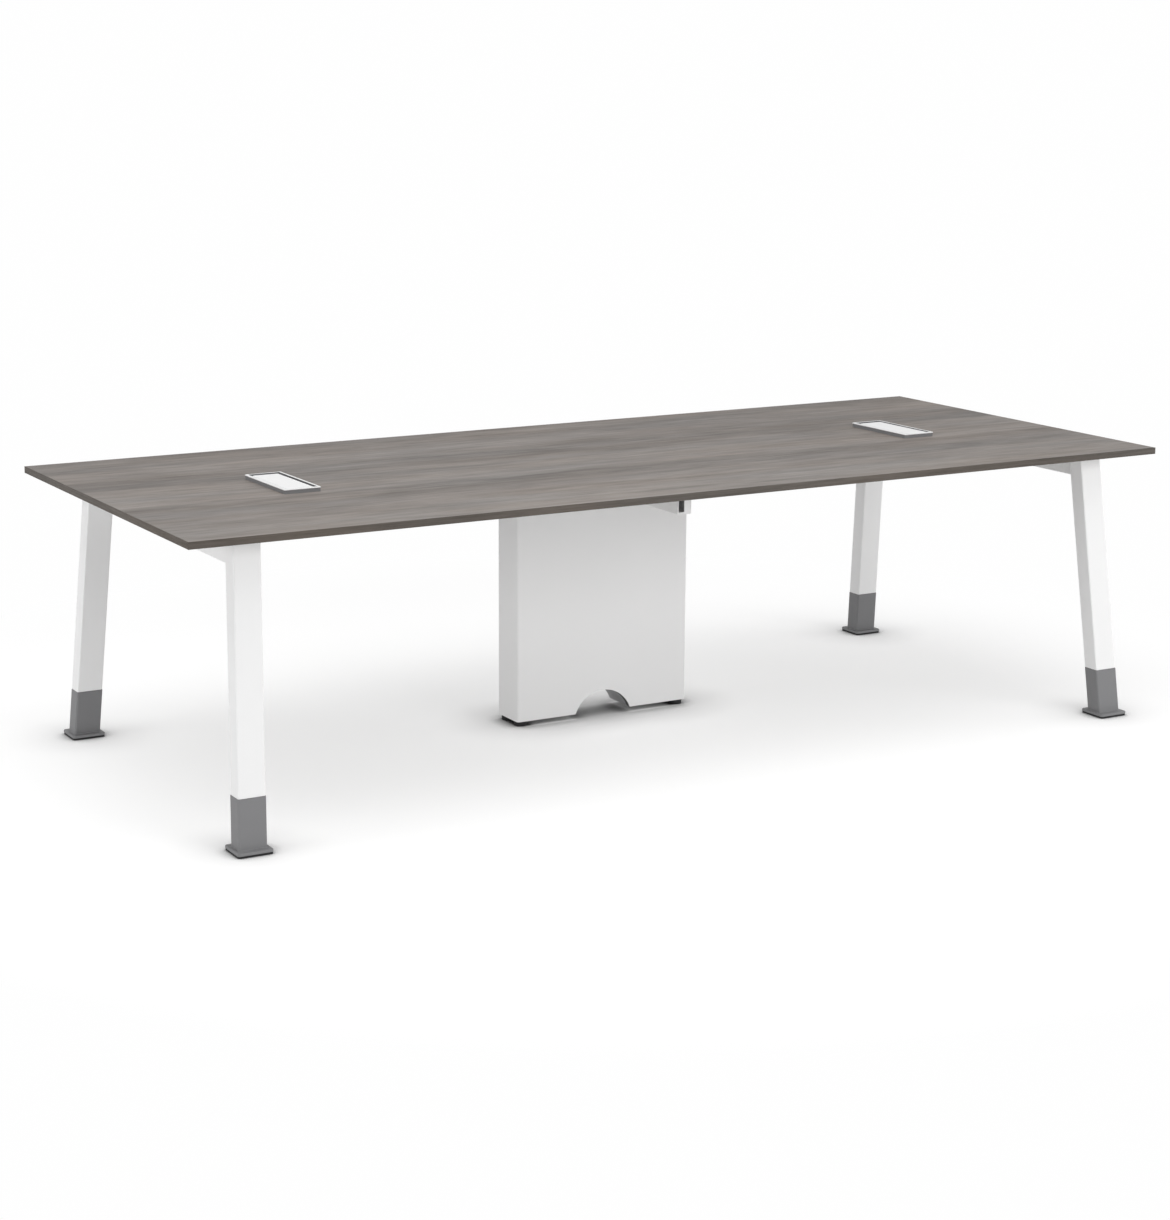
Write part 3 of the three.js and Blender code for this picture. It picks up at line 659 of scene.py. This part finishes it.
def spun(profile, steps):
    """A closed body turned about the Z axis from (radius, height) points in millimetres."""
    bm = bmesh.new()
    verts = [bm.verts.new((radius * MM, 0, height * MM)) for radius, height in profile]
    edges = [bm.edges.new(pair) for pair in zip(verts, verts[1:])]
    bmesh.ops.spin(
        bm, geom=verts + edges, cent=(0, 0, 0), axis=(0, 0, 1), dvec=(0, 0, 0),
        angle=2 * math.pi, steps=steps, use_merge=True,
    )
    bmesh.ops.remove_doubles(bm, verts=bm.verts[:], dist=TOUCH)
    bmesh.ops.recalc_face_normals(bm, faces=bm.faces[:])
    return bm


def carry_to(bm, low, high):
    """Moves a shape made about the Z axis to the middle of a box, at its own height."""
    middle = (low + high) / 2
    bmesh.ops.translate(bm, vec=(middle.x, middle.y, 0), verts=bm.verts[:])


print("shape helpers: bevel, post, level_edges, drop_face, pour, spun, carry_to")

# %% [markdown]
# ## The top and its edging
# The board is flat, so its own solid stays and takes the wood. The edging is what the eye meets
# first: a two-millimetre band whose outer edges are eased by a router. A bevel modifier on the solid
# would also round the seams between band and board, so each band is a new long block with only its
# outer edges bevelled.

# %% Board and edging
EASE = 1.6 * MM
# Side, axis it runs along, sign of its outward direction
SIDES = (("front", 0, -1), ("back", 0, 1), ("left", 1, -1), ("right", 1, 1))


def edging(side, along, outward):
    low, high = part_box(f"edge_band_{side}")
    bm = bmesh.new()
    verts = bmesh.ops.create_cube(bm, size=1.0)["verts"]
    bmesh.ops.scale(bm, vec=high - low, verts=verts)
    bmesh.ops.translate(bm, vec=(low + high) / 2, verts=verts)
    axis = 1 - along
    face = high[axis] if outward > 0 else low[axis]
    outer = [e for e in bm.edges if all(abs(v.co[axis] - face) < TOUCH for v in e.verts)]
    material = EDGE_LONG
    if along == 1:
        # A short band butts against the long ones, so its upright ends stay sharp
        outer = [e for e in outer if abs(e.verts[0].co.z - e.verts[1].co.z) < TOUCH]
        material = EDGE_SHORT
    bevel(bm, outer, EASE, segments=4)
    make_piece(f"edging_{side}", bm, material, stands_for=(f"edge_band_{side}",))


paint_node("tabletop_board", TOP_WOOD)
for side, along, outward in SIDES:
    edging(side, along, outward)
print("edging", len(SIDES))

# %% [markdown]
# ## Legs
# Each leg is a rectangular tube that leans outward both ways, cut level at both ends. A section
# swept along the leaning line would end square to it, so a block with its upright edges rounded is
# sheared by the lean instead, which keeps the ends level. The lower rim is eased and lifted a hair,
# so a fine shadow line shows where the tube sits on its shoe.

# %% Lean of the legs
SAME_LEVEL = 0.01 * MM


def level_section(node, height):
    """Lowest and highest corner of a node's points at one height."""
    points = [v.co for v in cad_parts[node].data.vertices if abs(v.co.z - height) < SAME_LEVEL]
    return [Vector([pick(p[axis] for p in points) for axis in range(3)]) for pick in (min, max)]


def lean_of(tag):
    """Foot point on the floor and the shift per metre of height of a leg."""
    low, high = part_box(f"leg_{tag}")
    bottom, top = [sum(level_section(f"leg_{tag}", z), Vector()) / 2 for z in (low.z, high.z)]
    lean = (top - bottom) / (high.z - low.z)
    return bottom - lean * low.z, lean


def lean_over(bm, tag):
    foot, lean = lean_of(tag)
    shear = Matrix(((1, 0, lean[0], foot[0]), (0, 1, lean[1], foot[1]), (0, 0, 1, 0), (0, 0, 0, 1)))
    bmesh.ops.transform(bm, matrix=shear, verts=bm.verts[:])


tube_low, tube_high = level_section("leg_fl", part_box("leg_fl")[1].z)
LEG_WIDTH, LEG_DEPTH = tube_high.x - tube_low.x, tube_high.y - tube_low.y
print("leg section", round(LEG_WIDTH / MM), "x", round(LEG_DEPTH / MM), "mm")

# %% Raked tubes
LEG_ROUND, LEG_EASE, LEG_LIFT = 4 * MM, 0.5 * MM, 0.3 * MM

for tag in CORNERS:
    low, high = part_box(f"leg_{tag}")
    rim = low.z + LEG_LIFT
    bm = post(LEG_WIDTH, LEG_DEPTH, rim, high.z, LEG_ROUND)
    bevel(bm, level_edges(bm, rim), LEG_EASE, segments=2)
    lean_over(bm, tag)
    make_piece(f"leg_tube_{tag}", bm, WHITE_COAT, stands_for=(f"leg_{tag}",))
print("legs", len(CORNERS))

# %% [markdown]
# ## Shoes, pads and stems
# The tube stands on a grey moulded shoe: a sleeve a hair wider than the tube, grown from a flange.
# Two blocks pushed into one another would leave a hard inner corner, so sleeve and flange start as
# two rounded blocks; the faces between them are taken out and the open loops bridged, and then the
# flange's rim can be chamfered and the inner corner filleted as on a moulding. The black pad below
# is a thinner block. Its stem is turned from one profile, with the thread's ridges as plain rings;
# a true helix would look the same at this size.

# %% Shoes
flange_low, flange_high = level_section("foot_shoe_fl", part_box("foot_shoe_fl")[0].z)
sleeve_low, sleeve_high = level_section("foot_shoe_fl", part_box("leg_fl")[0].z)
FLANGE_LENGTH, FLANGE_WIDTH = (flange_high - flange_low).xy
FLANGE_ROUND, FLANGE_CHAMFER, FLANGE_FILLET = 7 * MM, 2 * MM, 1.5 * MM
FLANGE_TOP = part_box("foot_nut_fl")[0].z
PAD_TOP = flange_low.z
PROUD = (sleeve_high.x - sleeve_low.x - LEG_WIDTH) / 2
SLEEVE_EASE = 0.7 * MM
RIM_FROM = 6 * MM  # what lies further from the leg is the flange's rim


def off_leg(vert, foot):
    return max(abs(vert.co.x - foot.x) - LEG_WIDTH / 2, abs(vert.co.y - foot.y) - LEG_DEPTH / 2)


def shoe(tag):
    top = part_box(f"leg_{tag}")[0].z
    sleeve = post(LEG_WIDTH + 2 * PROUD, LEG_DEPTH + 2 * PROUD, FLANGE_TOP, top, LEG_ROUND + PROUD)
    bevel(sleeve, level_edges(sleeve, top), SLEEVE_EASE, segments=2)
    drop_face(sleeve, FLANGE_TOP)
    lean_over(sleeve, tag)
    bm = post(FLANGE_LENGTH, FLANGE_WIDTH, PAD_TOP, FLANGE_TOP, FLANGE_ROUND)
    foot, _ = lean_of(tag)
    bmesh.ops.translate(bm, vec=(foot.x, foot.y, 0), verts=bm.verts[:])
    drop_face(bm, FLANGE_TOP)
    pour(bm, sleeve)
    bmesh.ops.bridge_loops(bm, edges=[e for e in bm.edges if e.is_boundary])
    outer, inner = [], []
    for edge in level_edges(bm, FLANGE_TOP):
        away = [off_leg(vert, foot) for vert in edge.verts]
        if min(away) > RIM_FROM:
            outer.append(edge)
        elif max(away) < RIM_FROM:
            inner.append(edge)
    bevel(bm, outer, FLANGE_CHAMFER, segments=3)
    bevel(bm, [e for e in inner if e.is_valid], FLANGE_FILLET, segments=3)
    bmesh.ops.recalc_face_normals(bm, faces=bm.faces[:])
    make_piece(f"shoe_{tag}", bm, GREY_MOULDING, stands_for=(f"foot_shoe_{tag}",))


print("flange", round(FLANGE_LENGTH / MM), "x", round(FLANGE_WIDTH / MM), "mm")

# %% Pads, stems and whole feet
PAD_ROUND, PAD_EASE, PAD_GAP = 6 * MM, 0.8 * MM, 0.2 * MM
# Turned profiles are in millimetres
RIDGE = 0.6  # depth of a thread
CREST_FROM, CREST_TO = 0.35, 0.6  # shares of the pitch
TIP = 1  # length of the plain end
STEM_RADIUS, STEM_CORE, STEM_PLAIN, STEM_PITCH = 5, 4.2, 6, 1.5


def pad(tag):
    low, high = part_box(f"foot_pad_{tag}")
    bm = post(high.x - low.x, high.y - low.y, low.z, high.z - PAD_GAP, PAD_ROUND)
    bevel(bm, level_edges(bm, low.z), PAD_EASE, segments=2)
    carry_to(bm, low, high)
    make_piece(f"pad_{tag}", bm, BLACK_RUBBER, f"foot_{tag}", (f"foot_pad_{tag}",))


def thread(radius, core, low, end, pitch):
    """Ridges and a plain tip as (radius, height) points in millimetres."""
    points = []
    for turn in range(int((end - TIP - low) / pitch)):
        base = low + turn * pitch
        points += [
            (radius - RIDGE, base), (radius, base + CREST_FROM * pitch), (radius, base + CREST_TO * pitch),
        ]
    return [*points, (core, end - TIP), (core, end), (0, end)]


def stem(tag):
    low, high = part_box(f"foot_stem_{tag}")
    start, end = low.z / MM, high.z / MM
    ridges = start + STEM_PLAIN
    profile = [(0, start), (STEM_RADIUS, start), (STEM_RADIUS, ridges)]
    profile += thread(STEM_RADIUS, STEM_CORE, ridges, end, STEM_PITCH)
    bm = spun(profile, steps=24)
    carry_to(bm, low, high)
    make_piece(f"stem_{tag}", bm, ZINC, f"foot_{tag}", (f"foot_stem_{tag}",))


for tag in CORNERS:
    shoe(tag)
    pad(tag)
    stem(tag)
    paint_node(f"foot_nut_{tag}", ZINC)
print("feet", len(CORNERS))

# %% [markdown]
# ## Beams, rails and brackets
# The steel under the top is plain tube, so merged copies of the solids with smooth corners do. The
# middle beam's front end shows below the edge of the top: a dark slot beside a white strip. Painted
# on, they would look flat from the side, so a small lip of sheet, set just inside the mouth, half
# closes it. It is six points, one face, an extrusion for the sheet's thickness and a fine bevel;
# the back end gets the same lip, turned half round.

# %% Steel under the top
BEAMS = ("end_beam_left", "end_beam_right", "mid_beam")

for node in BEAMS:
    make_piece(f"{node}_tube", dressed(node), WHITE_COAT, stands_for=(node,))
for tag in CORNERS:
    node = f"rail_{tag}"
    make_piece(f"rail_tube_{tag}", dressed(node), WHITE_COAT, stands_for=(node,))
    paint_node(f"rail_bracket_{tag}", WHITE_COAT)
print("beams and rails", len(BEAMS) + len(CORNERS))

# %% Lips that half close the middle beam
LIP_SIDE, LIP_FOOT, LIP_SHEET, LIP_EASE = 18.2 * MM, 3.8 * MM, 1.5 * MM, 0.3 * MM
BEAM_WALL = 2 * MM


def beam_lip(name, turn):
    """A strip at one side and a low one at the foot, cut from one sheet and set into the mouth."""
    low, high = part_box("mid_beam")
    left, right = low.x + BEAM_WALL, high.x - BEAM_WALL
    foot, head = low.z + BEAM_WALL, high.z - BEAM_WALL
    step, rise = right - LIP_SIDE, foot + LIP_FOOT
    outline = ((left, foot), (right, foot), (right, head), (step, head), (step, rise), (left, rise))
    front = low.y + LIP_SHEET / 2
    bm = bmesh.new()
    face = bm.faces.new([bm.verts.new((x, front, z)) for x, z in outline])
    thick = bmesh.ops.extrude_face_region(bm, geom=[face])["geom"]
    corners = [part for part in thick if isinstance(part, bmesh.types.BMVert)]
    bmesh.ops.translate(bm, verts=corners, vec=(0, LIP_SHEET, 0))
    bmesh.ops.recalc_face_normals(bm, faces=bm.faces[:])
    bevel(bm, bm.edges[:], LIP_EASE, segments=2)
    middle = (low + high) / 2
    bmesh.ops.rotate(bm, verts=bm.verts[:], cent=middle, matrix=Matrix.Rotation(turn, 3, "Z"))
    make_piece(name, bm, WHITE_COAT)


beam_lip("mid_beam_lip_front", 0.0)
beam_lip("mid_beam_lip_back", math.pi)
print("lips", 2)

# %% [markdown]
# ## Weld beads and screws
# Each end beam is welded to its legs along the inner side and below; the outer side is ground flush.
# A bead could be bump in the coat, but its outline shows, so it is a short curve with a round section
# whose radius ripples along it, turned into a mesh. The screws are one turned profile with a socket
# in its head, set in rows: up through the rails into the board, through both leaves of the angle
# brackets, and along the returns of the column's back.

# %% Weld beads
BEAD_RADIUS = 2.3 * MM
BEAD_STOP = 4 * MM  # how far a bead ends before the outer side
RIPPLE = 3.2 * MM  # four points make one
RIPPLE_DEPTH = 0.14  # as a share of the radius


def bead_route(tag):
    side_x, side_y = CORNERS[tag]
    low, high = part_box("end_beam_left" if side_x < 0 else "end_beam_right")
    foot, lean = lean_of(tag)
    inner, outer = (high.x, low.x) if side_x < 0 else (low.x, high.x)
    bends = ((inner, high.z - BEAD_RADIUS), (inner, low.z), (outer + side_x * -BEAD_STOP, low.z))
    corners = [Vector((x, foot.y + lean.y * z - side_y * LEG_DEPTH / 2, z)) for x, z in bends]
    route = []
    for start, end in zip(corners, corners[1:]):
        steps = int((end - start).length / (RIPPLE / 4))
        route += [start.lerp(end, step / steps) for step in range(steps)]
    return route


def weld_bead(tag):
    route = bead_route(tag)
    data = bpy.data.curves.new("bead", "CURVE")
    data.dimensions = "3D"
    data.bevel_depth = BEAD_RADIUS
    data.bevel_resolution = 2
    data.use_fill_caps = True
    spline = data.splines.new("POLY")
    spline.points.add(len(route) - 1)
    for index, (point, place) in enumerate(zip(spline.points, route)):
        point.co = (*place, 1)
        point.radius = 1 + RIPPLE_DEPTH * math.sin(index * math.pi / 2)
    holder = bpy.data.objects.new("bead", data)
    mesh = bpy.data.meshes.new_from_object(holder)
    bm = bmesh.new()
    bm.from_mesh(mesh)
    bmesh.ops.remove_doubles(bm, verts=bm.verts[:], dist=TOUCH)
    bpy.data.meshes.remove(mesh)
    bpy.data.objects.remove(holder)
    bpy.data.curves.remove(data)
    make_piece(f"weld_bead_{tag}", bm, WHITE_COAT)


for tag in CORNERS:
    weld_bead(tag)
print("beads", len(CORNERS))

# %% Screws
# Radius and height in millimetres, from the socket's floor over the head to its seat
SCREW = ((0, 0.8), (1.5, 0.8), (1.6, 2.1), (2.4, 2.0), (3.4, 1.3), (3.9, 0.4), (3.9, -0.2), (0, -0.2))
ROW = 4  # screws in a row
RETURN_MIDDLE = 12.5 * MM  # middle of the column's back return, from its side
LEAF_SCREW = 24 * MM  # from a bracket's corner
LEAF_SHEET = 3 * MM  # thickness of a bracket


def screws(name, spots):
    bm = bmesh.new()
    for place, direction in spots:
        one = spun(SCREW, steps=18)
        turn = Vector(direction).to_track_quat("Z", "Y").to_matrix().to_4x4()
        bmesh.ops.transform(one, matrix=Matrix.Translation(place) @ turn, verts=one.verts[:])
        pour(bm, one)
    make_piece(name, bm, ZINC)


def row(low, high):
    """Places of a row's screws, evenly shared between two ends."""
    return [low + (high - low) * (index + 0.5) / ROW for index in range(ROW)]


for tag, (side_x, side_y) in CORNERS.items():
    low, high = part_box(f"rail_{tag}")
    middle_y = (low.y + high.y) / 2
    screws(f"rail_screws_{tag}", [((x, middle_y, low.z), (0, 0, -1)) for x in row(low.x, high.x)])
    low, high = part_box(f"rail_bracket_{tag}")
    corner = Vector((low.x if side_x < 0 else high.x, low.y if side_y < 0 else high.y, (low.z + high.z) / 2))
    screws(f"bracket_screws_{tag}", [
        (corner + Vector((-side_x * LEAF_SCREW, -side_y * LEAF_SHEET, 0)), (0, -side_y, 0)),
        (corner + Vector((-side_x * LEAF_SHEET, -side_y * LEAF_SCREW, 0)), (-side_x, 0, 0)),
    ])
low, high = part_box("column_shell")
returns = (low.x + RETURN_MIDDLE, high.x - RETURN_MIDDLE)
screws("column_back_screws", [((x, high.y, z), (0, 1, 0)) for x in returns for z in row(low.z, high.z)])
print("screw sets", 2 * len(CORNERS) + 1)

# %% [markdown]
# ## The cable column
# The shell is sheet steel folded round the front and sides. Its bends are real arcs in the solid,
# so a merged copy with smooth shading shows them as soft folds. The liner of the arched passage is
# a pale moulding, and a dark band in its front mouth is painted shade, standing for the shade just
# inside the arch. The band lies flush, so a cut across the liner parts it off and it takes a second
# material slot. The round glides are turned from one profile, foot, rim and thread together.

# %% Column sheets and the liner of the passage
SHEETS = ("shell", "back_panel", "top_plate")
# Depth of the painted shade band behind the arch's front mouth.
ARCH_SHADE_BAND = 16 * MM


def arch_liner():
    low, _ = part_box("column_arch_liner")
    bm = dressed("column_arch_liner")
    everything = bm.verts[:] + bm.edges[:] + bm.faces[:]
    # Liner faces in front of this cut take the painted shade.
    shade_band_end = low.y + ARCH_SHADE_BAND
    bmesh.ops.bisect_plane(bm, geom=everything, plane_co=(0, shade_band_end, 0), plane_no=(0, 1, 0))
    for face in bm.faces:
        face.material_index = 1 if face.calc_center_median().y < shade_band_end else 0
    make_piece(
        "column_arch_liner_sheet", bm, PALE_MOULDING,
        stands_for=("column_arch_liner",), painted_shade=PAINTED_ARCH_SHADE,
    )


for part in SHEETS:
    node = f"column_{part}"
    make_piece(f"{node}_sheet", dressed(node), WHITE_COAT, stands_for=(node,))
arch_liner()
for end in ENDS:
    paint_node(f"column_foot_bracket_{end}", WHITE_COAT)
print("column sheets and liner", len(SHEETS) + 1)

# %% Glides
GLIDE_FOOT = ((0, 0), (16.8, 0), (18.5, 0.6), (19, 2))  # radius, height above the floor, in millimetres
GLIDE_RIM = ((19, -3), (18.4, -1.2), (16.6, 0), (4.2, 0), (4.2, 0.5))  # radius, height above the rim
GLIDE_GAP = 0.5  # between rim and shell
GLIDE_RADIUS, GLIDE_CORE, GLIDE_PITCH = 4, 3.3, 1.25


def glide(tag):
    low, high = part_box(f"column_glide_{tag}")
    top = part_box("column_shell")[0].z / MM - GLIDE_GAP
    profile = [*GLIDE_FOOT, *((radius, top + rise) for radius, rise in GLIDE_RIM)]
    profile += thread(GLIDE_RADIUS, GLIDE_CORE, profile[-1][1], high.z / MM, GLIDE_PITCH)
    bm = spun(profile, steps=36)
    carry_to(bm, low, high)
    name = f"glide_{tag}"
    make_piece(name, bm, BLACK_RUBBER, name, (f"column_glide_{tag}",))


for tag in CORNERS:
    glide(tag)
print("glides", len(CORNERS))

# %% [markdown]
# ## Cable boxes
# Each box is a white rim on a grey surround, with a white lid, a slot beside the lid and a tray
# below. Their solids have the right shapes, so merged copies with smooth shading on the rolled hinge
# edge do. The slot reads dark: surround and tray are grey mouldings, and the rim's inner walls take
# the same grey as painted shade, in a second material slot.

# %% Boxes
INNER_FROM = 1 * MM  # an inner wall looks at the middle from at least this far
STEEP = 0.5  # the normal of an upright face rises less


def paint_inner_shade(bm):
    """Gives the inner walls of an upright frame the second material slot, a grey that is painted shade."""
    bm.normal_update()
    corners = [[pick(v.co[axis] for v in bm.verts) for axis in range(3)] for pick in (min, max)]
    middle = (Vector(corners[0]) + Vector(corners[1])) / 2
    for face in bm.faces:
        outward = face.calc_center_median() - middle
        outward.z = 0
        upright = abs(face.normal.z) < STEEP
        face.material_index = 1 if upright and face.normal.dot(outward) < -INNER_FROM else 0


def cable_box(end):
    box = f"cable_box_{end}"
    frame_node, lid, tray, surround = [f"{box}_{part}" for part in ("frame", "lid", "tray", "surround")]
    rim = dressed(frame_node)
    paint_inner_shade(rim)
    # The white rim's inner walls get grey painted shade in the second slot.
    make_piece(f"{box}_rim", rim, WHITE_COAT, BODY, (frame_node,), GREY_MOULDING)
    make_piece(f"{box}_flap", dressed(lid), WHITE_COAT, f"lid_{end}", (lid,))
    make_piece(f"{box}_pan", dressed(tray), GREY_MOULDING, BODY, (tray,))
    make_piece(f"{box}_band", dressed(surround), GREY_MOULDING, BODY, (surround,))
    for pin in ("near", "far"):
        paint_node(f"{box}_pin_{pin}", ZINC)


for end in ENDS:
    cable_box(end)
print("boxes", len(ENDS))
